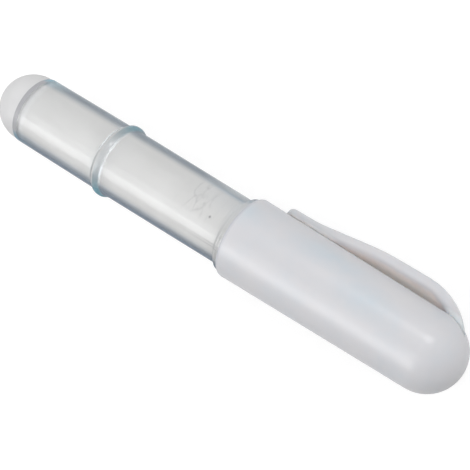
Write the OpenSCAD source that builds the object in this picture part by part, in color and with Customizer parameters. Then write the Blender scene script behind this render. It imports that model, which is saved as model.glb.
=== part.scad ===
// Refillable chalk pen for marking fabric, lying on a table on its cap lip and clip.
// A clear barrel holds white chalk powder, a domed plug closes the rear end,
// a nose with a toothed wheel closes the front end, and a push-on cap with a
// pocket clip covers the nose.

/* [Barrel] */
// Outside diameter of the straight rear stretch
barrel_d = 13.4; // [12:0.1:16]
// Wall of the clear tube
barrel_wall = 1.4; // [1:0.1:1.8]
// Diameter lost between the bead and the stop flange
barrel_taper = 0.5; // [0:0.1:0.8]
// Length from the rear rim to the middle of the bead
rear_len = 21.2; // [16:0.2:30]
// Length from the middle of the bead to the front face of the stop flange
front_len = 29.1; // [24:0.1:40]
// Width of the bead at its foot
bead_width = 2.4; // [2:0.1:4]
// Height of the bead above the barrel
bead_height = 0.6; // [0.3:0.05:0.8]
// Thickness of the stop flange at its rim
flange_thickness = 0.9; // [0.5:0.1:1.5]
// Height of the stop flange above the barrel
flange_height = 0.75; // [0.4:0.05:0.9]
// Length of the neck that the cap is pushed over
neck_len = 7.1; // [5:0.1:9]
// Depth of the step from the barrel down to the neck
neck_step = 0.1; // [0.05:0.05:0.3]

/* [End plug] */
// Straight band between the dome and the barrel rim
plug_band = 0.85; // [0.4:0.05:2]
// Length of the spigot inside the barrel
plug_spigot_len = 3.3; // [2.6:0.1:6]
// Wall of the hollow plug
plug_wall = 1.3; // [1:0.1:1.6]
// Gap between the spigot and the bore
plug_clear = 0.1; // [0.05:0.01:0.2]
// Width of the seal ring
seal_width = 1.1; // [0.8:0.1:1.6]
// Depth of the seal's groove
seal_depth = 0.6; // [0.4:0.05:0.7]
// Distance from the barrel rim to the seal ring
seal_inset = 0.2; // [0.1:0.1:0.6]
// Gap between the seal ring and the bore
seal_clear = 0.02; // [0.01:0.01:0.05]

/* [Cap] */
// Length of the cap from its lip to the end of its dome
cap_len = 46.1; // [42:0.1:60]
// Wall of the cap at its lip
cap_wall = 1.4; // [1:0.05:1.6]
// Wall of the dome
dome_wall = 1.1; // [0.9:0.05:1.4]
// Radius lost between the lip and the dome
cap_draft = 0.7; // [0.4:0.05:1]
// Rounding of the lip
lip_round = 0.5; // [0.3:0.05:0.9]
// Depth of the socket that fits over the neck
socket_depth = 8.7; // [8:0.1:12]
// Step from the socket down to the cavity behind it
socket_step = 0.2; // [0.1:0.05:0.3]
// Gap between the neck and the socket
cap_clear = 0.05; // [0.02:0.01:0.1]
// Gap between the stop flange and the cap's lip
seat_gap = 0.05; // [0.02:0.01:0.2]

/* [Clip] */
// Width of the strap
clip_width = 7; // [5:0.1:8]
// Thickness of the strap
clip_thickness = 2; // [1.2:0.05:2.2]
// Height of the strap's outer face above the dome
clip_rise = 3.3; // [2.8:0.1:4.5]
// Distance from the cap's lip to the tip of the strap
tip_inset = 4.4; // [3:0.1:7]
// Length of the flat pad at the tip
pad_len = 6.5; // [5:0.1:8]
// Height of the pad's outer face above the cap
pad_height = 0.9; // [0.6:0.05:1.2]
// Rounding of the tip
tip_round = 1.3; // [0.8:0.1:1.4]
// Gap between the tip and the cap
tip_clear = 0.15; // [0.1:0.01:0.3]
// Length of the strap's level top, up to the bend
top_len = 9.1; // [7:0.1:12]
// Radius where the ramp turns into the level top
ramp_round = 45; // [20:1:60]
// Distance from the dome's centre back to the start of the bend
bend_reach = 6.4; // [5:0.1:8]
// Angle along the bend at which the strap flexes
flex_angle = 14; // [10:1:20]
// Gap around the flexing end of the strap
flex_clear = 0.05; // [0.03:0.01:0.1]
// Distance from the flexing centre to the rim of its seat
flex_seat = 0.45; // [0.4:0.01:0.5]

/* [Nose] */
// Length of the spigot inside the barrel
nose_spigot_len = 14.5; // [10:0.1:18]
// Wall of the spigot
nose_wall = 0.9; // [0.7:0.05:1.2]
// Gap between the spigot and the bore
nose_clear = 0.03; // [0.02:0.01:0.06]
// Thickness of the collar that stops on the neck's rim
collar_thickness = 1.5; // [1:0.1:2]
// Distance from the collar's edge in to the neck's edge
collar_inset = 0.3; // [0.2:0.05:0.5]
// Step from the collar down to the cone
cone_step = 0.7; // [0.4:0.05:0.9]
// Length of the cone from the collar to the axle
cone_len = 16; // [14:0.2:20]
// Radius of the rounded tip
nose_tip_r = 2.1; // [1.8:0.05:2.4]
// Length of the funnel inside the cone
funnel_len = 9; // [7:0.1:10]
// Diameter of the hole that feeds powder to the wheel
feed_d = 1.8; // [1.2:0.1:2]

/* [Wheel] */
// Diameter of the wheel over its teeth
wheel_d = 5.4; // [5:0.1:6]
// Thickness of the wheel
wheel_thickness = 0.9; // [0.6:0.05:1.1]
// Number of teeth
wheel_teeth = 24; // [16:1:36]
// Depth of a tooth
tooth_depth = 0.3; // [0.2:0.05:0.4]
// Diameter of the axle
axle_d = 1; // [0.8:0.05:1.2]
// Gap between the axle and the wheel
axle_clear = 0.04; // [0.02:0.01:0.08]
// Gap between the axle and its holes in the nose
axle_fit = 0.01; // [0.01:0.01:0.02]
// Gap between the wheel and the slot
slot_clear = 0.25; // [0.15:0.05:0.35]

/* [Powder] */
// Gap between the powder and the walls around it
powder_clear = 0.05; // [0.03:0.01:0.1]
// Gap between the powder and the end plug
powder_gap = 0.3; // [0.1:0.1:2]

/* [Hidden] */
$fn = 96;
// How far a cut runs past the face that it opens
over = 0.5;
// Steps in a drawn arc
arc_steps = 12;

barrel_r = barrel_d / 2;
bore_r = barrel_r - barrel_wall;
front_r = barrel_r - barrel_taper / 2;
flange_r = front_r + flange_height;
neck_r = front_r - neck_step;
socket_r = neck_r + cap_clear;
cap_r = socket_r + cap_wall;
dome_r = cap_r - cap_draft;

// Places along the pen, from the rear end forwards
rim_z = barrel_r + plug_band;
bead_z = rim_z + rear_len;
flange_z = bead_z + front_len;
lip_z = flange_z + seat_gap;
neck_z = flange_z + neck_len;
nose_z = neck_z - nose_spigot_len;
cone_z = neck_z + collar_thickness;
axle_z = cone_z + cone_len;
dome_z = lip_z + cap_len - dome_r;
overall_len = lip_z + cap_len;

plug_spigot_r = bore_r - plug_clear;
plug_end_z = rim_z + plug_spigot_len;
seal_z = rim_z + seal_inset;
nose_spigot_r = bore_r - nose_clear;
nose_bore_r = nose_spigot_r - nose_wall;
collar_r = neck_r - collar_inset;
cone_r = collar_r - cone_step;
funnel_z = cone_z + funnel_len;
feed_r = feed_d / 2;
wheel_r = wheel_d / 2;
axle_r = axle_d / 2;
slot_r = wheel_r + slot_clear;
slot_width = wheel_thickness + 2 * slot_clear;
axle_len = 2 * sqrt(nose_tip_r * nose_tip_r - axle_r * axle_r) - 2 * axle_clear;

// The strap's side view, as distances along the pen and from its axis
top_r = dome_r + clip_rise;
tip_z = lip_z + tip_inset;
pad_z = tip_z + pad_len;
cap_slope = (cap_r - dome_r) / (dome_z - lip_z);
pad_r = cap_r - cap_slope * (tip_z - lip_z) + pad_height;
bend_z = dome_z - bend_reach;
ramp_z = bend_z - top_len;
ramp_angle = atan2(top_r - pad_r, ramp_z - pad_z);
ramp_tangent = ramp_round * tan(ramp_angle / 2);
// The bend runs into the dome where the strap's side faces meet it
dome_side_r = sqrt(dome_r * dome_r - clip_width * clip_width / 4);
bend_r = (bend_reach * bend_reach + top_r * top_r - dome_side_r * dome_side_r)
    / (2 * (top_r - dome_side_r));
bend_mid = [bend_z, top_r - bend_r];
bend_end = atan2(bend_reach, bend_r - top_r);
flex_r = clip_thickness / 2;
flex_mid = bend_mid + (bend_r - flex_r) * [sin(flex_angle), cos(flex_angle)];
seat_angle = flex_angle + asin(flex_seat / (bend_r - flex_r));

// The pen rolls until the strap's corner and the cap's lip both touch the table
corner_r = norm([top_r, clip_width / 2]);
clip_roll = acos(cap_r / corner_r) + asin(clip_width / 2 / corner_r);
reach_y = top_r * sin(clip_roll) + clip_width / 2 * cos(clip_roll);
axis_y = (cap_r - reach_y) / 2;

// Points on an arc, with angles counted from straight out towards the front
function arc(mid, r, from, to) = [
    for (i = [0:arc_steps])
        let (a = from + (to - from) * i / arc_steps)
            mid + r * [sin(a), cos(a)]
];

// Stands a pen drawn along Z down on the table, front end towards +X
module lay_down() {
    translate([-overall_len / 2, axis_y, cap_r])
        rotate([0, 90, 0])
            children();
}

// Turns a side view into a strap as wide as the clip, on the clip's side of the pen
module strap(points) {
    rotate([0, 0, clip_roll])
        rotate([0, -90, -90])
            linear_extrude(clip_width, center = true)
                polygon(points);
}

// Round bar across the strap at the point where it flexes
module flex_bar(r, len) {
    rotate([0, 0, clip_roll])
        rotate([0, -90, -90])
            translate(flex_mid)
                cylinder(r = r, h = len, center = true);
}

// A disc or bar across the pen at the wheel's axle
module at_axle(r, len) {
    translate([0, 0, axle_z])
        rotate([90, 0, 0])
            cylinder(r = r, h = len, center = true);
}

// Outside of the cap, grown by a gap, without its lip's rounding
module cap_cone(gap) {
    translate([0, 0, lip_z])
        cylinder(h = dome_z - lip_z, r1 = cap_r + gap, r2 = dome_r + gap);
}

module barrel_outline() {
    bead_round = (bead_width * bead_width / 4 + bead_height * bead_height) / (2 * bead_height);
    flare_z = flange_z - flange_thickness;
    polygon(concat(
        [[0, rim_z], [barrel_r, rim_z], [barrel_r, bead_z]],
        [for (p = arc([flare_z - flange_height, flange_r], flange_height, 180, 90)) [p[1], p[0]]],
        [[flange_r, flange_z], [neck_r, flange_z], [neck_r, neck_z], [0, neck_z]]
    ));
    translate([barrel_r + bead_height - bead_round, bead_z])
        circle(bead_round);
}

module barrel() {
    color("lightblue", 0.4)
        lay_down()
            difference() {
                rotate_extrude()
                    barrel_outline();
                translate([0, 0, rim_z - over])
                    cylinder(r = bore_r, h = neck_z - rim_z + 2 * over);
            }
}

module chalk_powder() {
    r = bore_r - powder_clear;
    inner_r = nose_bore_r - powder_clear;
    tip_r = feed_r - powder_clear;
    color("white")
        lay_down()
            rotate_extrude()
                polygon([
                    [0, plug_end_z + powder_gap],
                    [r, plug_end_z + powder_gap],
                    [r, nose_z - powder_clear],
                    [inner_r, nose_z - powder_clear],
                    [inner_r, cone_z - powder_clear],
                    [tip_r, funnel_z - powder_clear],
                    [tip_r, axle_z - slot_r],
                    [0, axle_z - slot_r]
                ]);
}

module end_plug() {
    color("whitesmoke")
        lay_down()
            difference() {
                union() {
                    intersection() {
                        translate([0, 0, barrel_r])
                            sphere(barrel_r);
                        cylinder(r = barrel_d, h = barrel_r);
                    }
                    translate([0, 0, barrel_r])
                        cylinder(r = barrel_r, h = plug_band);
                    translate([0, 0, barrel_r])
                        cylinder(r = plug_spigot_r, h = plug_end_z - barrel_r);
                }
                translate([0, 0, barrel_r])
                    cylinder(r = plug_spigot_r - plug_wall, h = plug_end_z - barrel_r + over);
                translate([0, 0, seal_z])
                    rotate_extrude()
                        translate([plug_spigot_r - seal_depth, 0])
                            square([seal_depth + over, seal_width]);
            }
}

module plug_seal() {
    inner_r = plug_spigot_r - seal_depth;
    color("darkgray")
        lay_down()
            translate([0, 0, seal_z])
                rotate_extrude()
                    translate([inner_r, 0])
                        square([bore_r - seal_clear - inner_r, seal_width]);
}

module nose() {
    color("white")
        lay_down()
            difference() {
                union() {
                    translate([0, 0, nose_z])
                        cylinder(r = nose_spigot_r, h = cone_z - nose_z);
                    translate([0, 0, neck_z])
                        cylinder(r = collar_r, h = collar_thickness);
                    translate([0, 0, cone_z])
                        cylinder(h = cone_len, r1 = cone_r, r2 = nose_tip_r);
                    translate([0, 0, axle_z])
                        sphere(nose_tip_r);
                }
                translate([0, 0, nose_z - over])
                    cylinder(r = nose_bore_r, h = cone_z - nose_z + over);
                translate([0, 0, cone_z])
                    cylinder(h = funnel_len, r1 = nose_bore_r, r2 = feed_r);
                translate([0, 0, funnel_z])
                    cylinder(r = feed_r, h = axle_z - funnel_z);
                at_axle(slot_r, slot_width);
                at_axle(axle_r + axle_fit, 2 * nose_tip_r + over);
            }
}

module marking_wheel() {
    tooth = 360 / wheel_teeth;
    color("silver")
        lay_down()
            difference() {
                translate([0, 0, axle_z])
                    rotate([90, 0, 0])
                        linear_extrude(wheel_thickness, center = true)
                            polygon([
                                for (i = [0:wheel_teeth - 1], half = [0, 1])
                                    let (r = wheel_r - half * tooth_depth, a = (i + half / 2) * tooth)
                                        r * [cos(a), sin(a)]
                            ]);
                at_axle(axle_r + axle_clear, wheel_thickness + over);
            }
}

module axle_pin() {
    color("gray")
        lay_down()
            at_axle(axle_r, axle_len);
}

module cap_outside() {
    round_z = lip_z + lip_round;
    lip = arc([round_z, cap_r - lip_round], lip_round, -90, 0);
    rotate_extrude()
        polygon(concat(
            [[0, lip_z]],
            [for (p = lip) [p[1], p[0]]],
            [[dome_r, dome_z], [0, dome_z]]
        ));
    translate([0, 0, dome_z])
        sphere(dome_r);
    difference() {
        strap(concat(
            arc(bend_mid, bend_r, seat_angle, bend_end),
            arc(bend_mid, bend_r - clip_thickness, bend_end, seat_angle)
        ));
        flex_bar(flex_r + flex_clear, clip_width + over);
    }
}

module cap_shell() {
    socket_end = lip_z + socket_depth;
    cavity_r = dome_r - dome_wall;
    color("white")
        lay_down()
            difference() {
                cap_outside();
                translate([0, 0, lip_z - over])
                    cylinder(r = socket_r, h = socket_depth + over);
                translate([0, 0, socket_end - over])
                    cylinder(h = dome_z - socket_end + over, r1 = socket_r - socket_step, r2 = cavity_r);
                translate([0, 0, dome_z])
                    sphere(cavity_r);
            }
}

module clip() {
    ramp_mid = [ramp_z + ramp_tangent, top_r - ramp_round];
    side = concat(
        [[tip_z, pad_r - clip_thickness]],
        arc([tip_z + tip_round, pad_r - tip_round], tip_round, -90, 0),
        [[pad_z, pad_r]],
        arc(ramp_mid, ramp_round, -ramp_angle, 0),
        arc(bend_mid, bend_r, 0, flex_angle),
        arc(bend_mid, bend_r - clip_thickness, flex_angle, 0),
        arc(ramp_mid, ramp_round - clip_thickness, 0, -ramp_angle),
        [[pad_z + clip_thickness * tan(ramp_angle / 2), pad_r - clip_thickness]]
    );
    color("white")
        lay_down()
            difference() {
                union() {
                    strap(side);
                    flex_bar(flex_r, clip_width);
                }
                cap_cone(tip_clear);
            }
}

barrel();
chalk_powder();
end_plug();
plug_seal();
nose();
marking_wheel();
axle_pin();
cap_shell();
clip();
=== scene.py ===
import math

import bmesh
import bpy
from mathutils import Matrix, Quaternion, Vector


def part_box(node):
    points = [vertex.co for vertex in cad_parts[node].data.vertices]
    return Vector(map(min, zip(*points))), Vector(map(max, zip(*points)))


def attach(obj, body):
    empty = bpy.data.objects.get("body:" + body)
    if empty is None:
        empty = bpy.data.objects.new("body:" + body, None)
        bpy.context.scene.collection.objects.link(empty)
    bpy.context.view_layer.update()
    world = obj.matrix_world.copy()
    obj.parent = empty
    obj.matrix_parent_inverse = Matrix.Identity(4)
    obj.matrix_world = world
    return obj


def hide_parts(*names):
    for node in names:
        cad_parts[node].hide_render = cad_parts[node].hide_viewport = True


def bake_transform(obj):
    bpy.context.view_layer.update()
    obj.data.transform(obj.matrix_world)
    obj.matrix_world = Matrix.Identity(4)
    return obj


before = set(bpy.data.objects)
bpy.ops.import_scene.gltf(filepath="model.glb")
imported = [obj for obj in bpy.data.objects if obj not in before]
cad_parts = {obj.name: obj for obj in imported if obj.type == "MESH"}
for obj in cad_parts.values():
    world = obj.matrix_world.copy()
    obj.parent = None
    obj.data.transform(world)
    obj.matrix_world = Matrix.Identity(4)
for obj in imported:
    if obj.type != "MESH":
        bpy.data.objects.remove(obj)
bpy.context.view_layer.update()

MM = 0.001
ROUND_STEPS = 160
# Points closer than this, in mm, are one point
SAME_PLACE = 0.02

# The camera that fits the photograph: its place and aim in mm, its roll and its lens
CAMERA_PLACE = Vector((105.41, 17.02, 233.32))
CAMERA_AIM = Vector((4.425, -1.852, 7.8))
CAMERA_ROLL = -69.879
CAMERA_LENS = 107.23
LAMP_DISTANCE = 400
FLOOR_LIFT = 0.75
# The world's light: its level, how it leans along each axis, and how much its corners differ
WORLD_LEVEL = 1.12
WORLD_LEAN = (0, 0.15, -0.4)
WORLD_CORNERS = 1.3


def box_mm(node):
    """Lowest and highest corner of a CAD node, in mm."""
    low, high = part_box(node)
    return low / MM, high / MM


barrel_low, barrel_high = box_mm("barrel")
plug_low, plug_high = box_mm("end_plug")
seal_low, seal_high = box_mm("plug_seal")
powder_high = box_mm("chalk_powder")[1]
nose_low = box_mm("nose")[0]
cap_low, cap_high = box_mm("cap_shell")

# The pen lies along X; every turned piece is drawn as (x, radius) in mm about this axis
AXIS_Y = (plug_low.y + plug_high.y) / 2
AXIS_Z = (plug_low.z + plug_high.z) / 2

# Barrel, repeated from part.scad where a node's box can't tell it
BARREL_R = (plug_high.y - plug_low.y) / 2
BARREL_WALL = 1.4
BORE_R = BARREL_R - BARREL_WALL
FRONT_R = BARREL_R - 0.25
NECK_R = FRONT_R - 0.1
FLANGE_HEIGHT = 0.75
FLANGE_R = FRONT_R + FLANGE_HEIGHT
FLANGE_THICKNESS = 0.9
LIP_GAP = 0.05
BEAD_X = barrel_low.x + 21.2
BEAD_R = BARREL_R + 0.6
BEAD_FOOT = 1.2
BEAD_TOP = 0.45
FACET_LEN = 0.45
FACET_DROP = 0.21
RIM_GAP = 0.04
RIM_BAND = 1

# Plug and seal
SPIGOT_R = BORE_R - 0.1
RECESS_R = SPIGOT_R - 1.3
GROOVE_R = SPIGOT_R - 0.6
PLUG_R = BARREL_R - 0.13
DOME_START = plug_low.x + BARREL_R

# Nose and powder, with the gaps from the powder to the plug and to the nose
PLUG_GAP = 0.04
NOSE_GAP = 0.05
NOSE_WALL = 0.9
NOSE_SPIGOT_R = BORE_R - 0.03
POWDER_INNER_R = NOSE_SPIGOT_R - NOSE_WALL - NOSE_GAP
POWDER_TIP_R = 0.85
FUNNEL_LEN = 9
COLLAR_THICKNESS = 1.5
# Powder clings to the bore as a film, around the spigots of the plug and the nose too:
# how far it goes into the wall, how far its ends lie inside the barrel's, and its gap to the nose
FILM = 0.03
FILM_START = 0.1
FILM_END = 0.3
FILM_GAP = 0.01
# Cracks in the powder: how finely their net is drawn and swayed, and their middle and
# reach along the pen
CRACK_NET = (0.5, 0.11, 0.11)
CRACK_SWAY = (0.5, 0.3, 0.3)
CRACKED_X = -2
CRACKED_REACH = 6
# Two fine dark lines along the powder, their places across the pen, and a speck of grit
LENGTHWISE_LINE_Y = (AXIS_Y - 3.05, AXIS_Y - 3.45)
SPECK = (1.1, AXIS_Y + 0.5, AXIS_Z + BORE_R)
SPECK_R = 0.3

# Cap
LIP_X = cap_low.x
CAP_R = AXIS_Z
CAP_DOME_R = CAP_R - 0.7
CAP_DOME_X = cap_high.x - CAP_DOME_R
CAVITY_DOME_R = CAP_DOME_R - 1.1
SOCKET_R = NECK_R + 0.05
SOCKET_END_X = LIP_X + 8.7
SOCKET_STEP = 0.2
LIP_ROUND = 0.5
CAP_SLOPE = (CAP_R - CAP_DOME_R) / (CAP_DOME_X - LIP_X)

# Bluish blotches on the cap: the middle of each and its reach along each axis
BLOTCHES = (
    ((33.5, AXIS_Y + 2.5, AXIS_Z + 7), (6.5, 3.2, 3.2)),
    ((24.5, AXIS_Y + 5.4, AXIS_Z + 5.2), (8.5, 2.6, 2.6)),
    ((6.5, AXIS_Y + 5, AXIS_Z + 6), (4, 3, 3)),
)

# Painted light: a pale warm white for faces in shade, standing in for light coming through the white
# plastic
PAINTED_GLOW = (0.97, 0.9, 0.875, 1)

# Clip: the strap's side view along the pen and its roll about the pen's axis
CLIP_WIDTH = 7
CLIP_THICKNESS = 2
CLIP_EDGE = 0.6
CLIP_INNER_EDGE = 0.95
CLIP_ROLL = math.radians(63.298)
CLIP_OUT = (0, math.sin(CLIP_ROLL), -math.cos(CLIP_ROLL))
CLIP_SIDE = (0, math.cos(CLIP_ROLL), math.sin(CLIP_ROLL))
TIP_INSET = 4.4
CLIP_TIP_X = LIP_X + TIP_INSET
PAD_END_X = CLIP_TIP_X + 6.5
PAD_R = CAP_R - CAP_SLOPE * TIP_INSET + 0.9
PAD_ROUND = 20
CLIP_TOP_R = CAP_DOME_R + 3.3
BEND_X = CAP_DOME_X - 6.4
RAMP_END_X = BEND_X - 9.1
RAMP_ROUND = 45
TIP_CLEAR = 0.03
TIP_ROUND = 1.3
TIP_CORNER = 1.8
TIP_DROP = 0.6
ROOT_SINK = 0.55
STRAP_STEP = 0.35


def arc(middle, radius, start, end, steps):
    """Points (x, r) on an arc, with angles in degrees counted from +X towards outwards."""
    points = []
    for i in range(steps + 1):
        angle = math.radians(start + (end - start) * i / steps)
        points.append((middle[0] + radius * math.cos(angle), middle[1] + radius * math.sin(angle)))
    return points


def rounded(corner, before, after, radius, steps=6):
    """The arc that rounds one corner of an outline."""
    p, a, b = Vector(corner), Vector(before), Vector(after)
    u, v = (a - p).normalized(), (b - p).normalized()
    half = u.angle(v) / 2
    middle = p + (u + v).normalized() * radius / math.sin(half)
    first = p + u * radius / math.tan(half) - middle
    last = p + v * radius / math.tan(half) - middle
    turn = first.angle_signed(last)
    points = []
    for i in range(steps + 1):
        angle = -turn * i / steps
        c, s = math.cos(angle), math.sin(angle)
        points.append((middle.x + first.x * c - first.y * s, middle.y + first.x * s + first.y * c))
    return points


def soften(corners, closed=False):
    """Outline points from corners (x, r) or (x, r, rounding), with flats held close to the roundings."""
    count = len(corners)
    points = []
    for i, corner in enumerate(corners):
        ends = not closed and i in (0, count - 1)
        if len(corner) == 2 or ends:
            points.append(tuple(corner[:2]))
            continue
        before = corners[i - 1][:2]
        after = corners[(i + 1) % count][:2]
        points.extend(rounded(corner[:2], before, after, corner[2]))
    return hold_flats(points, closed)


def hold_flats(points, closed):
    """Adds a point near both ends of each long straight stretch, so that its shading stays flat."""
    hold = 0.06
    held = []
    count = len(points)
    for i, point in enumerate(points):
        held.append(point)
        if i == count - 1 and not closed:
            break
        p, q = Vector(point), Vector(points[(i + 1) % count])
        if (q - p).length > 4 * hold:
            step = (q - p).normalized() * hold
            held.append(tuple(p + step))
            held.append(tuple(q - step))
    return held


def around(x, r, angle):
    """A point at an angle about the pen's axis, in metres."""
    return Vector((x, AXIS_Y + r * math.cos(angle), AXIS_Z + r * math.sin(angle))) * MM


def finish_mesh(name, bm, material):
    """Makes a smooth object of a bmesh, with sharp edges where faces meet steeply."""
    bmesh.ops.recalc_face_normals(bm, faces=bm.faces)
    mesh = bpy.data.meshes.new(name)
    bm.to_mesh(mesh)
    bm.free()
    mesh.shade_smooth()
    mesh.set_sharp_from_angle(angle=math.radians(40))
    mesh.materials.append(material)
    piece = bpy.data.objects.new(name, mesh)
    bpy.context.scene.collection.objects.link(piece)
    return piece


def bridge(bm, first, second):
    """Faces between two rings of vertices; a ring of one vertex is a pole."""
    count = max(len(first), len(second))
    for i in range(count):
        j = (i + 1) % count
        corners = []
        for loop, k in ((first, i), (first, j), (second, j), (second, i)):
            vertex = loop[k % len(loop)]
            if vertex not in corners:
                corners.append(vertex)
        bm.faces.new(corners)


def lathe(name, outline, material, closed=False):
    """Turns an outline of (x, r) points about the pen's axis."""
    bm = bmesh.new()
    rings = []
    for x, r in outline:
        count = 1 if r < 1e-6 else ROUND_STEPS
        rings.append([bm.verts.new(around(x, r, math.tau * i / count)) for i in range(count)])
    for first, second in zip(rings, rings[1:]):
        bridge(bm, first, second)
    if closed:
        bridge(bm, rings[-1], rings[0])
    return finish_mesh(name, bm, material)


def new_material(name):
    """A material, its node tree and its main shader."""
    material = bpy.data.materials.new(name)
    material.use_nodes = True
    tree = material.node_tree
    return material, tree, tree.nodes["Principled BSDF"]


def add(tree, kind, inputs=None, **settings):
    """A shader node with its settings, and its inputs set to values or linked to sockets."""
    node = tree.nodes.new(kind)
    for key, value in settings.items():
        setattr(node, key, value)
    for key, value in (inputs or {}).items():
        plug(tree, node.inputs[key], value)
    return node


def plug(tree, socket, value):
    """Links a socket to another one, or sets its value."""
    if isinstance(value, bpy.types.NodeSocket):
        tree.links.new(value, socket)
    else:
        socket.default_value = value


def coords(tree, scale=(1, 1, 1)):
    """Object coordinates in mm, stretched by a scale along each axis."""
    source = add(tree, "ShaderNodeTexCoord")
    sizes = tuple(s / MM for s in scale)
    mapping = add(tree, "ShaderNodeMapping", {"Vector": source.outputs["Object"], "Scale": sizes})
    return mapping.outputs["Vector"]


def noise(tree, vector, scale, detail=3, roughness=0.5):
    """Soft noise from 0 to 1."""
    inputs = {"Vector": vector, "Scale": scale, "Detail": detail, "Roughness": roughness}
    return add(tree, "ShaderNodeTexNoise", inputs).outputs["Fac"]


def ramp(tree, value, *stops):
    """A colour ramp with stops (position, colour or grey level)."""
    node = add(tree, "ShaderNodeValToRGB", {"Fac": value})
    elements = node.color_ramp.elements
    while len(elements) < len(stops):
        elements.new(0.5)
    for element, (position, colour) in zip(elements, stops):
        element.position = position
        grey = (colour, colour, colour) if isinstance(colour, (int, float)) else colour
        element.color = (*grey, 1)
    return node.outputs["Color"]


def spread(tree, value, low, high):
    """A 0 to 1 value spread between two numbers."""
    inputs = {"Value": value, "To Min": low, "To Max": high}
    return add(tree, "ShaderNodeMapRange", inputs).outputs["Result"]


def fall(tree, value, full, none):
    """1 up to one value, falling to 0 at another."""
    inputs = {"Value": value, "From Min": none, "From Max": full}
    return add(tree, "ShaderNodeMapRange", inputs).outputs["Result"]


def maths(tree, operation, *values):
    """A number worked out from numbers."""
    inputs = dict(enumerate(values))
    return add(tree, "ShaderNodeMath", inputs, operation=operation).outputs[0]


def measure(tree, operation, *vectors):
    """A number worked out from vectors, such as the distance between two."""
    inputs = dict(enumerate(vectors))
    return add(tree, "ShaderNodeVectorMath", inputs, operation=operation).outputs["Value"]


def split(tree, vector):
    """The X, Y and Z of a vector."""
    return add(tree, "ShaderNodeSeparateXYZ", {"Vector": vector}).outputs


def along(tree):
    """Place along the pen in mm."""
    return split(tree, coords(tree))["X"]


def across(tree):
    """Place across the pen, from 0 on its -Y side to 1 on its +Y side."""
    place = split(tree, coords(tree))["Y"]
    return fall(tree, place, AXIS_Y + BEAD_R, AXIS_Y - BEAD_R)


def near(tree, value, place, full, none):
    """1 where a value lies near a place, falling to 0 from one distance to another."""
    distance = maths(tree, "ABSOLUTE", maths(tree, "SUBTRACT", value, place))
    return fall(tree, distance, full, none)


def ring(tree, x, reach, *strengths):
    """A line around the pen, its strength given by stops across the pen."""
    line = near(tree, along(tree), x, reach * 0.4, reach)
    return maths(tree, "MULTIPLY", line, ramp(tree, across(tree), *strengths))


def mix(tree, share, first, second):
    """Two colours mixed by a share of the second."""
    return add(tree, "ShaderNodeMix", {0: share, 6: first, 7: second}, data_type="RGBA").outputs[2]


def bump(tree, height, distance, strength=1.0, normal=None):
    """A bump of a given distance in mm."""
    inputs = {"Height": height, "Distance": distance * MM, "Strength": strength}
    if normal is not None:
        inputs["Normal"] = normal
    return add(tree, "ShaderNodeBump", inputs).outputs["Normal"]


def from_axis(tree):
    """The way straight out from the pen's axis to a point, in mm."""
    source = add(tree, "ShaderNodeTexCoord").outputs["Object"]
    inputs = {"Vector": source, "Location": (0, -AXIS_Y, -AXIS_Z), "Scale": (0, 1 / MM, 1 / MM)}
    return add(tree, "ShaderNodeMapping", inputs).outputs["Vector"]


def outward(tree):
    """Direction straight out from the pen's axis."""
    return add(tree, "ShaderNodeVectorMath", {0: from_axis(tree)}, operation="NORMALIZE").outputs[0]


def off_axis(tree):
    """Distance from the pen's axis, in mm."""
    return measure(tree, "LENGTH", from_axis(tree))


def edge_gloss(tree):
    """Shine that gets weaker towards the outline, as it does among dark surroundings."""
    facing = add(tree, "ShaderNodeLayerWeight", {"Blend": 0.5}).outputs["Facing"]
    return ramp(tree, facing, (0.3, 0.5), (0.9, 0))


def clipwards(tree):
    """How far a face looks out towards the clip: 1 straight at it, -1 straight away from it."""
    normal = add(tree, "ShaderNodeNewGeometry").outputs["Normal"]
    return measure(tree, "DOT_PRODUCT", normal, CLIP_OUT)


def off_strap_middle(tree):
    """Distance from the middle line of the strap, in mm."""
    middle = AXIS_Y * CLIP_SIDE[1] + AXIS_Z * CLIP_SIDE[2]
    spot = measure(tree, "DOT_PRODUCT", coords(tree), CLIP_SIDE)
    return maths(tree, "ABSOLUTE", maths(tree, "SUBTRACT", spot, middle))


def blotch(tree, middle, reach):
    """1 in the middle of a soft blotch, falling to 0 beyond its reach along each axis."""
    scale = tuple(1 / length for length in reach)
    spot = tuple(a * b for a, b in zip(middle, scale))
    away = measure(tree, "DISTANCE", coords(tree, scale), spot)
    return fall(tree, away, 0.2, 1.2)


def white_colour(tree):
    """White with faint clouds and a few bluish blotches."""
    clouds = noise(tree, coords(tree), 0.13, 5, 0.6)
    tint = ramp(tree, clouds, (0.36, (0.572, 0.586, 0.615)), (0.5, (0.592, 0.593, 0.616)),
                (0.75, (0.605, 0.602, 0.618)))
    bluish = 0
    for middle, reach in BLOTCHES:
        bluish = maths(tree, "MAXIMUM", blotch(tree, middle, reach), bluish)
    wisps = spread(tree, noise(tree, coords(tree), 0.5, 4, 0.6), 0.1, 1.4)
    return mix(tree, maths(tree, "MULTIPLY", bluish, wisps), tint, (0.525, 0.575, 0.62, 1))


def cap_colour(tree):
    """White with painted shade on the lip that dulls the light on its rounding, and painted light under
    the clip for light coming through the strap.
    """
    # Painted shade: the lip is greyer, to dull the light that its rounding catches.
    lip_shade_mask = fall(tree, along(tree), LIP_X + 0.3, LIP_X + 0.8)
    lip_painted_shade = mix(tree, lip_shade_mask, white_colour(tree), (0.48, 0.49, 0.53, 1))
    # Painted light: the cap under the strap is pale and warm, lifting the shade in the gap.
    covered = fall(tree, along(tree), CLIP_TIP_X + 1.5, CLIP_TIP_X - 0.5)
    painted_light_under_clip = maths(tree, "MULTIPLY", fall(tree, clipwards(tree), 0.97, 0.89), covered)
    return mix(tree, painted_light_under_clip, lip_painted_shade, PAINTED_GLOW)


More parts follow.
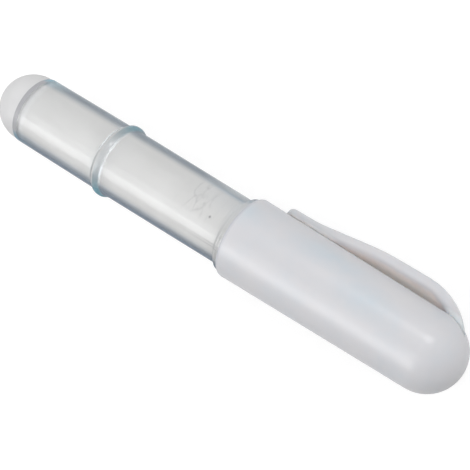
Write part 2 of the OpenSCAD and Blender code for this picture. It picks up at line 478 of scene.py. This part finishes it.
def clip_colour(tree):
    """White with painted light, standing in for light coming through the strap: paler on the inner face
    and low on the tip, pale bluish at the root's edges.
    """
    # Painted light on the strap's inner face, which lies in the shade of the gap.
    inner = fall(tree, clipwards(tree), -0.985, -0.9)
    middle = maths(tree, "MULTIPLY", inner, fall(tree, off_strap_middle(tree), 1.2, 3.2))
    # Painted light low on the tip, where it lies in shade against the cap.
    tip = fall(tree, along(tree), PAD_END_X + 2, PAD_END_X + 6)
    low = maths(tree, "MULTIPLY", tip, fall(tree, off_axis(tree), CAP_R, CAP_R + 0.5))
    # Painted pale bluish light at the root's edges, where the strap meets the dome.
    off_dome = measure(tree, "DISTANCE", coords(tree), (CAP_DOME_X, AXIS_Y, AXIS_Z))
    edge = fall(tree, off_strap_middle(tree), 3.1, 2.1)
    root_light_mask = maths(tree, "MULTIPLY", edge, fall(tree, off_dome, CAP_DOME_R + 0.1, CAP_DOME_R + 1))
    root_painted_pale = mix(tree, root_light_mask, white_colour(tree), (0.78, 0.83, 0.86, 1))
    return mix(tree, maths(tree, "MAXIMUM", middle, low), root_painted_pale, PAINTED_GLOW)


def cap_plastic(name, colour, scatter_share, scatter_depth, forward):
    """White plastic of a colour; light scatters in it to a depth in mm, mostly forward or all ways."""
    material, tree, shader = new_material(name)
    place = coords(tree)
    grain = noise(tree, place, 5, 2)
    wave = noise(tree, place, 0.35, 2)
    plug(tree, shader.inputs["Base Color"], colour(tree))
    plug(tree, shader.inputs["Roughness"], spread(tree, wave, 0.285, 0.345))
    plug(tree, shader.inputs["Specular IOR Level"], edge_gloss(tree))
    shader.inputs["Subsurface Weight"].default_value = scatter_share
    shader.inputs["Subsurface Radius"].default_value = (1, 0.9, 0.84)
    shader.inputs["Subsurface Scale"].default_value = scatter_depth * MM
    shader.inputs["Subsurface Anisotropy"].default_value = forward
    skin = bump(tree, wave, 0.03, 0.4)
    plug(tree, shader.inputs["Normal"], bump(tree, grain, 0.004, 0.5, skin))
    return material


def plug_plastic():
    """Slightly translucent white plastic."""
    material, tree, shader = new_material("plug_plastic")
    place = coords(tree)
    cloud = noise(tree, place, 0.16, 3)
    grain = noise(tree, place, 6, 2)
    pale = ramp(tree, cloud, (0.3, (0.6, 0.6, 0.605)), (0.7, (0.64, 0.64, 0.645)))
    plug(tree, shader.inputs["Base Color"], pale)
    plug(tree, shader.inputs["Roughness"], spread(tree, cloud, 0.46, 0.58))
    plug(tree, shader.inputs["Specular IOR Level"], edge_gloss(tree))
    shader.inputs["Subsurface Weight"].default_value = 0.25
    shader.inputs["Subsurface Radius"].default_value = (1, 1, 1)
    shader.inputs["Subsurface Scale"].default_value = 1.2 * MM
    plug(tree, shader.inputs["Normal"], bump(tree, grain, 0.004, 0.5))
    return material


def painted_clear_lines(tree):
    """Painted highlight lines at the bead's feet and a painted haze of light before the lip, and painted
    dark lines at the bead's foot and the flange, standing in for the tube's reflections and refractions.
    """
    # Painted highlight lines at the bead's front and rear feet.
    front = ring(tree, BEAD_X + 1, 0.25, (0.18, 0.3), (0.27, 0.8), (0.35, 0.85), (0.42, 0.35), (0.5, 0.15),
                 (0.62, 0.4), (0.7, 0.4), (0.78, 0.1))
    rear_highlight = ring(tree, BEAD_X - 1.15, 0.28, (0.5, 0), (0.6, 0.55), (0.82, 0.45), (0.94, 0.1))
    # Painted dark lines at the bead's rear foot, the flare and the gap before the lip.
    foot_dark_line = ring(tree, BEAD_X - 1.1, 0.35, (0.36, 0.7), (0.5, 0.4), (0.56, 0))
    flare_dark_line = ring(tree, LIP_X - 1.45, 0.3, (0.2, 0.5), (0.42, 0.5), (0.48, 0.25), (0.7, 0.05))
    gap_dark_line = ring(tree, LIP_X - 0.5, 0.25, (0.2, 0.2), (0.32, 0.5), (0.42, 0.5), (0.46, 0.1), (0.7, 0.05))
    # Painted haze of light over the flange before the lip.
    painted_haze = ring(tree, LIP_X - 0.9, 1.4, (0.4, 0), (0.6, 0.14), (0.92, 0.18))
    light = maths(tree, "MAXIMUM", painted_haze, maths(tree, "MAXIMUM", front, rear_highlight))
    painted_dark_lines = maths(tree, "MAXIMUM", foot_dark_line, maths(tree, "MAXIMUM", flare_dark_line, gap_dark_line))
    return light, painted_dark_lines


def edgeways(tree):
    """How far the tube's wall is looked through edgeways: 0 face on, 1 at the outline."""
    inputs = {"Blend": 0.5, "Normal": outward(tree)}
    return add(tree, "ShaderNodeLayerWeight", inputs).outputs["Facing"]


def at_bead(tree):
    """1 in the thick plastic of the bead."""
    return near(tree, along(tree), BEAD_X + 0.35, 0.45, 0.8)


def at_rim(tree):
    """1 on the rear rim."""
    return fall(tree, along(tree), barrel_low.x + RIM_BAND, barrel_low.x + RIM_BAND + 0.1)


def rear_end(tree):
    """1 at the rear rim, falling along the tube and weak on its -Y side: where the painted blue glint and
    bluer painted edge shade go.
    """
    place = fall(tree, along(tree), barrel_low.x + RIM_BAND, barrel_low.x + RIM_BAND + 5)
    return maths(tree, "MULTIPLY", place, ramp(tree, across(tree), (0.3, 0.2), (0.7, 1)))


def front_end(tree):
    """1 near the cap on the tube's +Y side, falling towards the bead: where the painted paler light at the
    outline goes.
    """
    place = fall(tree, along(tree), LIP_X - 4, LIP_X - 12)
    return maths(tree, "MULTIPLY", place, ramp(tree, across(tree), (0.6, 0), (0.8, 1)))


def tube_tint(tree, facing):
    """Clear in the middle and blue-grey towards the outline, partly the plastic's own tint and partly
    painted shade; a painted light-blue glint at the rear and painted paler light at the front.
    """
    # Partly the plastic's own tint, partly painted shade darkening the outline.
    tint_and_edge_shade = ramp(tree, facing, (0.4, (0.97, 0.972, 0.975)), (0.46, (0.69, 0.715, 0.738)),
                 (0.53, (0.31, 0.37, 0.44)), (0.61, (0.15, 0.2, 0.26)), (0.8, (0.09, 0.135, 0.185)))
    # Painted paler light at the outline near the cap.
    painted_front_light = ramp(tree, facing, (0.38, (0.93, 0.95, 0.975)), (0.45, (0.66, 0.73, 0.8)),
                 (0.52, (0.26, 0.37, 0.5)), (0.59, (0.4, 0.47, 0.54)), (0.8, (0.52, 0.57, 0.6)))
    # Painted light-blue glint at the outline by the rear rim.
    bluish = maths(tree, "MULTIPLY", rear_end(tree), ramp(tree, facing, (0.42, 0), (0.55, 0.85)))
    return mix(tree, bluish, mix(tree, front_end(tree), tint_and_edge_shade, painted_front_light), (0.42, 0.6, 0.72, 1))


def bead_tint(tree, facing):
    """Bluer than the tube and dark nearer its middle, partly the thick plastic's own tint and partly
    painted shade.
    """
    return ramp(tree, facing, (0.1, (0.86, 0.87, 0.9)), (0.22, (0.62, 0.68, 0.72)),
                (0.36, (0.3, 0.42, 0.49)), (0.5, (0.14, 0.29, 0.37)), (0.8, (0.1, 0.27, 0.37)))


def clear_colour(tree, facing, light, painted_dark_lines):
    """The tints of the tube, the bead and the rim, with the painted highlight lines and painted dark lines
    over them.
    """
    tinted = mix(tree, at_bead(tree), tube_tint(tree, facing), bead_tint(tree, facing))
    dark_lined = mix(tree, painted_dark_lines, tinted, (0.4, 0.42, 0.44, 1))
    highlight_lined = mix(tree, light, dark_lined, (0.88, 0.93, 0.97, 1))
    band = ramp(tree, facing, (0.5, (0.4, 0.4, 0.42)), (0.7, (0.26, 0.41, 0.5)))
    return mix(tree, at_rim(tree), highlight_lined, band)


def dark_edged(tree, facing, shader):
    """A shader with a dark diffuse one mixed in towards the outline, most on its -Y side: painted shade
    for the dark surroundings the wall reflects, partly the wall's own depth colour.
    """
    blue = maths(tree, "MAXIMUM", at_bead(tree), rear_end(tree))
    shaded = mix(tree, front_end(tree), (0.12, 0.165, 0.225, 1), (0.42, 0.48, 0.53, 1))
    depth = mix(tree, blue, shaded, (0.12, 0.33, 0.42, 1))
    # Painted shade: a dark diffuse shader towards the outline.
    painted_edge_shade = add(tree, "ShaderNodeBsdfDiffuse", {"Color": depth}).outputs["BSDF"]
    edge = maths(tree, "MULTIPLY", ramp(tree, facing, (0.5, 0), (0.7, 0.6)),
                 ramp(tree, across(tree), (0.3, 1), (0.7, 0.45)))
    return add(tree, "ShaderNodeMixShader", {0: edge, 1: shader, 2: painted_edge_shade}).outputs["Shader"]


def clear_to_lamps(tree, shader):
    """A shader that lets the light of lamps straight through."""
    passed = add(tree, "ShaderNodeBsdfTransparent", {"Color": (0.75, 0.76, 0.765, 1)}).outputs["BSDF"]
    shadow = add(tree, "ShaderNodeLightPath").outputs["Is Shadow Ray"]
    return add(tree, "ShaderNodeMixShader", {0: shadow, 1: shader, 2: passed}).outputs["Shader"]


def clear_plastic():
    """Clear plastic, blue-grey where it is looked through edgeways and bluer in the bead, partly its own
    tint and partly painted shade, glints and highlight lines.
    """
    material, tree, shader = new_material("clear_plastic")
    lengthways = noise(tree, coords(tree, (0.05, 1, 1)), 0.9, 3)
    facing = edgeways(tree)
    rim = at_rim(tree)
    light, painted_dark_lines = painted_clear_lines(tree)
    plug(tree, shader.inputs["Base Color"], clear_colour(tree, facing, light, painted_dark_lines))
    # The painted highlight lines and the rim's band are made mostly opaque.
    solid = maths(tree, "MAXIMUM", light, maths(tree, "MULTIPLY", rim, 0.9))
    plug(tree, shader.inputs["Transmission Weight"], spread(tree, solid, 1, 0))
    shader.inputs["IOR"].default_value = 1.57
    dull = maths(tree, "MAXIMUM", rim, near(tree, along(tree), LIP_X - 0.5, 0.5, 0.7))
    plug(tree, shader.inputs["Specular IOR Level"], spread(tree, dull, 0.5, 0.15))
    plug(tree, shader.inputs["Roughness"], spread(tree, lengthways, 0.21, 0.265))
    plug(tree, shader.inputs["Normal"], bump(tree, lengthways, 0.01, 0.06))
    surface = clear_to_lamps(tree, dark_edged(tree, facing, shader.outputs["BSDF"]))
    plug(tree, tree.nodes["Material Output"].inputs["Surface"], surface)
    return material


def crack_net(tree):
    """A broken net of fine cracks near the front of the powder."""
    bends = {"Vector": coords(tree), "Scale": 0.6, "Detail": 3}
    bent = add(tree, "ShaderNodeTexNoise", bends).outputs["Color"]
    sways = {0: bent, 1: CRACK_SWAY, 2: coords(tree, CRACK_NET)}
    swayed = add(tree, "ShaderNodeVectorMath", sways, operation="MULTIPLY_ADD").outputs[0]
    net = add(tree, "ShaderNodeTexVoronoi", {"Vector": swayed, "Scale": 1}, feature="DISTANCE_TO_EDGE")
    lines = fall(tree, net.outputs["Distance"], 0.01, 0.045)
    whole = spread(tree, noise(tree, coords(tree), 0.5, 2), -0.6, 1.3)
    zone = maths(tree, "MULTIPLY", near(tree, along(tree), CRACKED_X, CRACKED_REACH / 2, CRACKED_REACH),
                 ramp(tree, across(tree), (0.4, 0), (0.46, 1), (0.78, 1), (0.84, 0)))
    broken = maths(tree, "MULTIPLY", maths(tree, "MULTIPLY", lines, whole), zone)
    return maths(tree, "MULTIPLY", broken, 0.6)


def fine_lengthwise_lines(tree):
    """Two fine lines along the powder's side, fading towards its rear."""
    place = split(tree, coords(tree))["Y"]
    first, second = [near(tree, place, y, 0.03, 0.1) for y in LENGTHWISE_LINE_Y]
    front = maths(tree, "MULTIPLY", fall(tree, along(tree), CRACKED_X + 4, CRACKED_X - 4), 0.5)
    return maths(tree, "MULTIPLY", maths(tree, "MAXIMUM", first, second), front)


def chalk_colour(tree):
    """Packed powder: soft clumps, cracks, a speck of grit, and painted light near the rear rim, lifting
    the band's shade.
    """
    clumps = noise(tree, coords(tree, (0.5, 1, 1)), 0.3, 3)
    dusty = ramp(tree, clumps, (0.3, (0.665, 0.661, 0.653)), (0.7, (0.705, 0.701, 0.693)))
    # Painted light: paler powder just past the rear band, lifting the shade that the band casts.
    edge = fall(tree, along(tree), barrel_low.x + RIM_BAND + 0.5, barrel_low.x + RIM_BAND + 1.5)
    powder = mix(tree, edge, dusty, (0.85, 0.85, 0.85, 1))
    cracks = maths(tree, "MAXIMUM", crack_net(tree), fine_lengthwise_lines(tree))
    away = measure(tree, "DISTANCE", coords(tree), SPECK)
    marks = maths(tree, "MAXIMUM", cracks, fall(tree, away, SPECK_R / 2, SPECK_R))
    return mix(tree, marks, powder, (0.34, 0.34, 0.34, 1))


def chalk():
    """Matt packed powder."""
    material, tree, shader = new_material("chalk")
    grain = noise(tree, coords(tree), 3.5, 4, 0.7)
    plug(tree, shader.inputs["Base Color"], chalk_colour(tree))
    plug(tree, shader.inputs["Roughness"], spread(tree, grain, 0.8, 1))
    plug(tree, shader.inputs["Normal"], bump(tree, grain, 0.06, 0.6))
    return material


def seal_rubber():
    """Grey rubber."""
    material, tree, shader = new_material("seal_rubber")
    place = coords(tree)
    cloud = noise(tree, place, 0.8, 3)
    grey = ramp(tree, cloud, (0.3, (0.42, 0.425, 0.44)), (0.7, (0.48, 0.48, 0.49)))
    plug(tree, shader.inputs["Base Color"], grey)
    plug(tree, shader.inputs["Roughness"], spread(tree, cloud, 0.45, 0.65))
    plug(tree, shader.inputs["Normal"], bump(tree, noise(tree, place, 8, 2), 0.01, 0.5))
    return material


def nose_plastic():
    """White plastic, dusted with chalk where it sits in the barrel."""
    material, tree, shader = new_material("nose_plastic")
    place = coords(tree)
    cloud = noise(tree, place, 0.2, 3)
    dust = noise(tree, place, 2.5, 4, 0.65)
    plastic = ramp(tree, cloud, (0.3, (0.72, 0.72, 0.715)), (0.7, (0.77, 0.77, 0.765)))
    inside = fall(tree, along(tree), barrel_high.x - 0.3, barrel_high.x + 0.2)
    plug(tree, shader.inputs["Base Color"], mix(tree, inside, plastic, chalk_colour(tree)))
    plug(tree, shader.inputs["Roughness"], spread(tree, dust, 0.35, 0.6))
    plug(tree, shader.inputs["Normal"], bump(tree, dust, 0.01, 0.4))
    return material


def wheel_steel(name):
    """Brushed steel."""
    material, tree, shader = new_material(name)
    brushed = noise(tree, coords(tree, (1, 6, 1)), 3, 3)
    steel = ramp(tree, brushed, (0.3, (0.5, 0.5, 0.51)), (0.7, (0.62, 0.62, 0.63)))
    plug(tree, shader.inputs["Base Color"], steel)
    shader.inputs["Metallic"].default_value = 1
    plug(tree, shader.inputs["Roughness"], spread(tree, brushed, 0.22, 0.42))
    plug(tree, shader.inputs["Normal"], bump(tree, brushed, 0.006, 0.5))
    return material


def make_barrel(material):
    """Clear tube: rear rim, bead, stop flange and neck outside, one straight bore inside."""
    flange_x = LIP_X - LIP_GAP
    flare_x = flange_x - FLANGE_THICKNESS
    corners = [
        (barrel_low.x + RIM_GAP, BORE_R, 0.1),
        (barrel_low.x + RIM_GAP, BARREL_R, 0.08),
        (BEAD_X - BEAD_FOOT, BARREL_R, 0.2),
        (BEAD_X - BEAD_TOP, BEAD_R, 0.5),
        (BEAD_X + BEAD_TOP - FACET_LEN / 2, BEAD_R, 0.15),
        (BEAD_X + BEAD_TOP + FACET_LEN / 2, BEAD_R - FACET_DROP, 0.15),
        (BEAD_X + BEAD_FOOT, BARREL_R, 0.25),
        *arc((flare_x - FLANGE_HEIGHT, FLANGE_R), FLANGE_HEIGHT, 270, 345, 10),
        (flare_x, FLANGE_R, 0.15),
        (flange_x, FLANGE_R, 0.1),
        (flange_x, NECK_R, 0.05),
        (barrel_high.x, NECK_R, 0.2),
        (barrel_high.x, BORE_R, 0.15),
    ]
    tube = lathe("clear_tube", soften(corners, closed=True), material, closed=True)
    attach(tube, "barrel_body")
    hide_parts("barrel")


def make_powder(material):
    """Fill from the plug to the end of the nose's funnel, with its film along the bore."""
    shoulder_x = nose_low.x - NOSE_GAP
    cone_x = barrel_high.x + COLLAR_THICKNESS - NOSE_GAP
    film_x = barrel_low.x + FILM_START
    film_end_x = barrel_high.x - FILM_END
    corners = [
        (plug_high.x + PLUG_GAP, 0),
        (plug_high.x + PLUG_GAP, BORE_R),
        (film_x, BORE_R),
        (film_x, BORE_R + FILM),
        (film_end_x, BORE_R + FILM),
        (film_end_x, NOSE_SPIGOT_R + FILM_GAP),
        (shoulder_x, NOSE_SPIGOT_R + FILM_GAP),
        (shoulder_x, POWDER_INNER_R),
        (cone_x, POWDER_INNER_R),
        (cone_x + FUNNEL_LEN, POWDER_TIP_R),
        (powder_high.x, POWDER_TIP_R, 0.1),
        (powder_high.x, 0),
    ]
    powder = lathe("powder_fill", soften(corners), material)
    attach(powder, "barrel_body")
    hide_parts("chalk_powder")


def make_plug(material):
    """End plug: dome outside, hollow spigot with a groove for the seal inside."""
    spigot = [
        (DOME_START, 0),
        (DOME_START, RECESS_R, 0.2),
        (plug_high.x, RECESS_R, 0.15),
        (plug_high.x, SPIGOT_R, 0.2),
        (seal_high.x, SPIGOT_R),
        (seal_high.x, GROOVE_R),
        (seal_low.x, GROOVE_R),
        (seal_low.x, SPIGOT_R),
        (barrel_low.x, SPIGOT_R),
        (barrel_low.x, PLUG_R, 0.04),
        (DOME_START, PLUG_R),
    ]
    dome = arc((DOME_START, 0), PLUG_R, 90, 180, 28)[1:-1]
    outline = soften(spigot) + dome + [(DOME_START - PLUG_R, 0)]
    end = lathe("dome_plug", outline, material)
    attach(end, "plug_body")
    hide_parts("end_plug")


def make_seal(material):
    """Ring in the plug's groove."""
    outer_r = BORE_R - 0.02
    corners = [
        (seal_low.x, GROOVE_R, 0.1),
        (seal_low.x, outer_r, 0.12),
        (seal_high.x, outer_r, 0.12),
        (seal_high.x, GROOVE_R, 0.1),
    ]
    seal = lathe("seal_ring", soften(corners, closed=True), material, closed=True)
    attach(seal, "plug_body")
    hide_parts("plug_seal")


def make_cap(material):
    """Cap: domed cavity and socket inside, rounded lip, taper and dome outside."""
    cavity = arc((CAP_DOME_X, 0), CAVITY_DOME_R, 0, 90, 20)[1:]
    inner = [
        (CAP_DOME_X, CAVITY_DOME_R),
        (SOCKET_END_X, SOCKET_R - SOCKET_STEP),
        (SOCKET_END_X, SOCKET_R, 0.1),
        (LIP_X, SOCKET_R, 0.25),
        (LIP_X, CAP_R, LIP_ROUND),
        (CAP_DOME_X, CAP_DOME_R),
    ]
    dome = arc((CAP_DOME_X, 0), CAP_DOME_R, 90, 0, 32)[1:-1]
    start, end = (CAP_DOME_X + CAVITY_DOME_R, 0), (cap_high.x, 0)
    outline = [start] + cavity[:-1] + soften(inner) + dome + [end]
    cap = lathe("cap", outline, material)
    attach(cap, "cap_body")
    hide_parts("cap_shell")


def clip_path():
    """The strap's outer face from tip to root as (x, r), evenly spaced."""
    rise = math.atan2(CLIP_TOP_R - PAD_R, RAMP_END_X - PAD_END_X)
    ramp_x = RAMP_END_X + RAMP_ROUND * math.tan(rise / 2)
    dome_side = math.sqrt(CAP_DOME_R ** 2 - CLIP_WIDTH ** 2 / 4)
    reach = CAP_DOME_X - BEND_X
    bend_r = (reach ** 2 + CLIP_TOP_R ** 2 - dome_side ** 2) / (2 * (CLIP_TOP_R - dome_side))
    bend_end = math.degrees(math.atan2(reach, bend_r - CLIP_TOP_R))
    rough = [(CLIP_TIP_X, PAD_R)]
    rough += rounded((PAD_END_X, PAD_R), (CLIP_TIP_X, PAD_R), (RAMP_END_X, CLIP_TOP_R), PAD_ROUND, 10)
    rough += arc((ramp_x, CLIP_TOP_R - RAMP_ROUND), RAMP_ROUND, 90 + math.degrees(rise), 90, 16)
    rough += arc((BEND_X, CLIP_TOP_R - bend_r), bend_r, 90, 90 - bend_end, 30)
    return even(rough, STRAP_STEP)


def even(points, spacing):
    """The same line with evenly spaced points."""
    line = [Vector(p) for p in points]
    total = sum((b - a).length for a, b in zip(line, line[1:]))
    count = round(total / spacing)
    spaced = [line[0]]
    walked = 0
    for a, b in zip(line, line[1:]):
        length = (b - a).length
        while len(spaced) < count and walked + length >= total * len(spaced) / count:
            share = (total * len(spaced) / count - walked) / length
            spaced.append(a.lerp(b, share))
        walked += length
    spaced.append(line[-1])
    return spaced


def strap_section(half_width):
    """Points (across, depth) of the strap's rounded section, depth counted from its outer face."""
    corners = [
        (-half_width, 0, CLIP_EDGE),
        (half_width, 0, CLIP_EDGE),
        (half_width, CLIP_THICKNESS, CLIP_INNER_EDGE),
        (-half_width, CLIP_THICKNESS, CLIP_INNER_EDGE),
    ]
    points = []
    for i, corner in enumerate(corners):
        before, after = corners[i - 1], corners[(i + 1) % 4]
        bend = rounded(corner[:2], before[:2], after[:2], corner[2], 5)
        points.extend(bend)
        if i in (0, 2):
            start, end = Vector(bend[-1]), Vector((-bend[-1][0], bend[-1][1]))
            points.extend(tuple(start.lerp(end, k / 10)) for k in range(1, 10))
    return points


def cap_radius(x):
    """The cap's outside at a place along the pen."""
    if x <= CAP_DOME_X:
        return CAP_R - CAP_SLOPE * (x - LIP_X)
    return math.sqrt(max(CAP_DOME_R ** 2 - (x - CAP_DOME_X) ** 2, 0))


def seat(x, r, sideways, clear):
    """Keeps a point of the strap outside the cap by a gap, or, with a gap below 0, sunk into it."""
    wall = cap_radius(x) + clear
    lowest = math.sqrt(max(wall ** 2 - sideways ** 2, 0))
    return max(r, lowest)


def pulled_in(distance, radius):
    """How far a rounded end lies inside its square outline, at a distance from the end."""
    left = max(radius - distance, 0)
    return radius - math.sqrt(radius ** 2 - left ** 2)


def strap_rings(bm):
    """Rings of vertices around the strap, from its tip to its root."""
    path = clip_path()
    out, side = Vector(CLIP_OUT), Vector(CLIP_SIDE)
    middle_x = (PAD_END_X + BEND_X) / 2
    rings = []
    for i, point in enumerate(path):
        ahead = (path[min(i + 1, len(path) - 1)] - path[max(i - 1, 0)]).normalized()
        away = Vector((-ahead.y, ahead.x))
        from_tip = max(point.x - CLIP_TIP_X, 0)
        half_width = CLIP_WIDTH / 2 - pulled_in(from_tip, TIP_CORNER)
        drop = TIP_DROP * pulled_in(from_tip, TIP_ROUND) / TIP_ROUND
        clear = TIP_CLEAR if point.x < middle_x else -ROOT_SINK
        section = []
        for sideways, depth in strap_section(half_width):
            spot = point - away * (depth + drop)
            r = seat(spot.x, spot.y, sideways, clear)
            place = Vector((spot.x, AXIS_Y, AXIS_Z)) + out * r + side * sideways
            section.append(bm.verts.new(place * MM))
        rings.append(section)
    return rings


def make_clip(material):
    """Pocket clip: one strap swept along its side view, its root sunk in the dome's wall."""
    bm = bmesh.new()
    rings = strap_rings(bm)
    for first, second in zip(rings, rings[1:]):
        bridge(bm, first, second)
    bm.faces.new(rings[0])
    bm.faces.new(list(reversed(rings[-1])))
    bmesh.ops.remove_doubles(bm, verts=bm.verts, dist=SAME_PLACE * MM)
    strap = finish_mesh("clip_strap", bm, material)
    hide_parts("clip")
    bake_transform(strap)


def dress(node, material, rounding):
    """A kept CAD node: its own material, smooth shading and softened edges."""
    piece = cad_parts[node]
    piece.data.materials.clear()
    piece.data.materials.append(material)
    piece.data.shade_smooth()
    piece.data.set_sharp_from_angle(angle=math.radians(35))
    bevel = piece.modifiers.new("edges", "BEVEL")
    bevel.width = rounding * MM
    bevel.segments = 2
    bevel.limit_method = "ANGLE"
    bevel.angle_limit = math.radians(40)


def shown_white(tree):
    """1 for the rays that should see a plain white background."""
    path = add(tree, "ShaderNodeLightPath")
    seen = maths(tree, "MAXIMUM", path.outputs["Is Camera Ray"], path.outputs["Is Transmission Ray"])
    return maths(tree, "MAXIMUM", seen, path.outputs["Is Glossy Ray"])


def make_floor():
    """White floor that keeps a faint shadow."""
    size = 1500
    bm = bmesh.new()
    corners = [(-size, -size), (size, -size), (size, size), (-size, size)]
    bm.faces.new([bm.verts.new(Vector((x, y, 0)) * MM) for x, y in corners])
    material, tree, shader = new_material("white_floor")
    grain = noise(tree, coords(tree), 0.4, 3)
    plug(tree, shader.inputs["Base Color"], ramp(tree, grain, (0.3, 0.3), (0.7, 0.32)))
    shader.inputs["Roughness"].default_value = 0.9
    shader.inputs["Specular IOR Level"].default_value = 0.1
    shader.inputs["Emission Color"].default_value = (1, 1, 1, 1)
    plug(tree, shader.inputs["Emission Strength"], maths(tree, "MULTIPLY", shown_white(tree), FLOOR_LIFT))
    finish_mesh("floor", bm, material)


def make_world():
    """White where it is seen. As a light it is dimmer from above and from two opposite corners:
    ahead of the pen on its -Y side, and behind it on its +Y side."""
    world = bpy.data.worlds.new("studio")
    world.use_nodes = True
    bpy.context.scene.world = world
    tree = world.node_tree
    tree.nodes.clear()
    seen = add(tree, "ShaderNodeBackground", {"Color": (1, 1, 1, 1), "Strength": 1})
    towards = add(tree, "ShaderNodeTexCoord").outputs["Generated"]
    lean = measure(tree, "DOT_PRODUCT", towards, WORLD_LEAN)
    axes = split(tree, towards)
    corners = maths(tree, "MULTIPLY", maths(tree, "MULTIPLY", axes["X"], axes["Y"]), WORLD_CORNERS)
    level = maths(tree, "ADD", maths(tree, "ADD", lean, WORLD_LEVEL), corners)
    light = add(tree, "ShaderNodeBackground", {"Color": (1, 1, 1, 1), "Strength": level})
    inputs = {0: shown_white(tree), 1: light.outputs[0], 2: seen.outputs[0]}
    mixed = add(tree, "ShaderNodeMixShader", inputs)
    add(tree, "ShaderNodeOutputWorld", {"Surface": mixed.outputs[0]})


def softbox(name, lean, place, width, height, power, shine_only=False):
    """A soft lamp at a place along the pen; it leans from straight up towards +Y, its width along X."""
    lamp = bpy.data.lights.new(name, "AREA")
    lamp.shape = "RECTANGLE"
    lamp.size = width * MM
    lamp.size_y = height * MM
    lamp.energy = power
    holder = bpy.data.objects.new(name, lamp)
    bpy.context.scene.collection.objects.link(holder)
    away = Vector((0, math.sin(math.radians(lean)), math.cos(math.radians(lean))))
    holder.location = (Vector((place, AXIS_Y, AXIS_Z)) + away * LAMP_DISTANCE) * MM
    holder.rotation_mode = "QUATERNION"
    holder.rotation_quaternion = (-away).to_track_quat("-Z", "Y")
    holder.visible_diffuse = not shine_only


def make_camera():
    """The view of the photograph."""
    camera = bpy.data.cameras.new("camera")
    camera.sensor_width = 36
    camera.lens = CAMERA_LENS
    camera.clip_start = 0.01
    holder = bpy.data.objects.new("camera", camera)
    bpy.context.scene.collection.objects.link(holder)
    holder.location = CAMERA_PLACE * MM
    turn = (CAMERA_AIM - CAMERA_PLACE).to_track_quat("-Z", "Y")
    holder.rotation_mode = "QUATERNION"
    holder.rotation_quaternion = turn @ Quaternion((0, 0, 1), math.radians(CAMERA_ROLL))
    bpy.context.scene.camera = holder


bpy.context.scene.view_settings.view_transform = "Standard"
make_camera()
make_world()
make_floor()
softbox("key", lean=-30, place=-170, width=420, height=240, power=0.42)
softbox("shine", lean=-50, place=-170, width=420, height=190, power=0.8, shine_only=True)
softbox("back", lean=34, place=40, width=190, height=25, power=0.24)
softbox("glint", lean=34, place=60, width=140, height=15, power=0.12, shine_only=True)
softbox("top", lean=-18, place=130, width=60, height=560, power=0.07)

make_barrel(clear_plastic())
make_powder(chalk())
make_plug(plug_plastic())
make_seal(seal_rubber())
make_cap(cap_plastic("cap_plastic", cap_colour, scatter_share=0.5, scatter_depth=1.5, forward=0))
make_clip(cap_plastic("clip_plastic", clip_colour, scatter_share=1, scatter_depth=5, forward=0.6))
dress("nose", nose_plastic(), rounding=0.15)
dress("marking_wheel", wheel_steel("wheel_steel"), rounding=0.04)
dress("axle_pin", wheel_steel("axle_steel"), rounding=0.06)
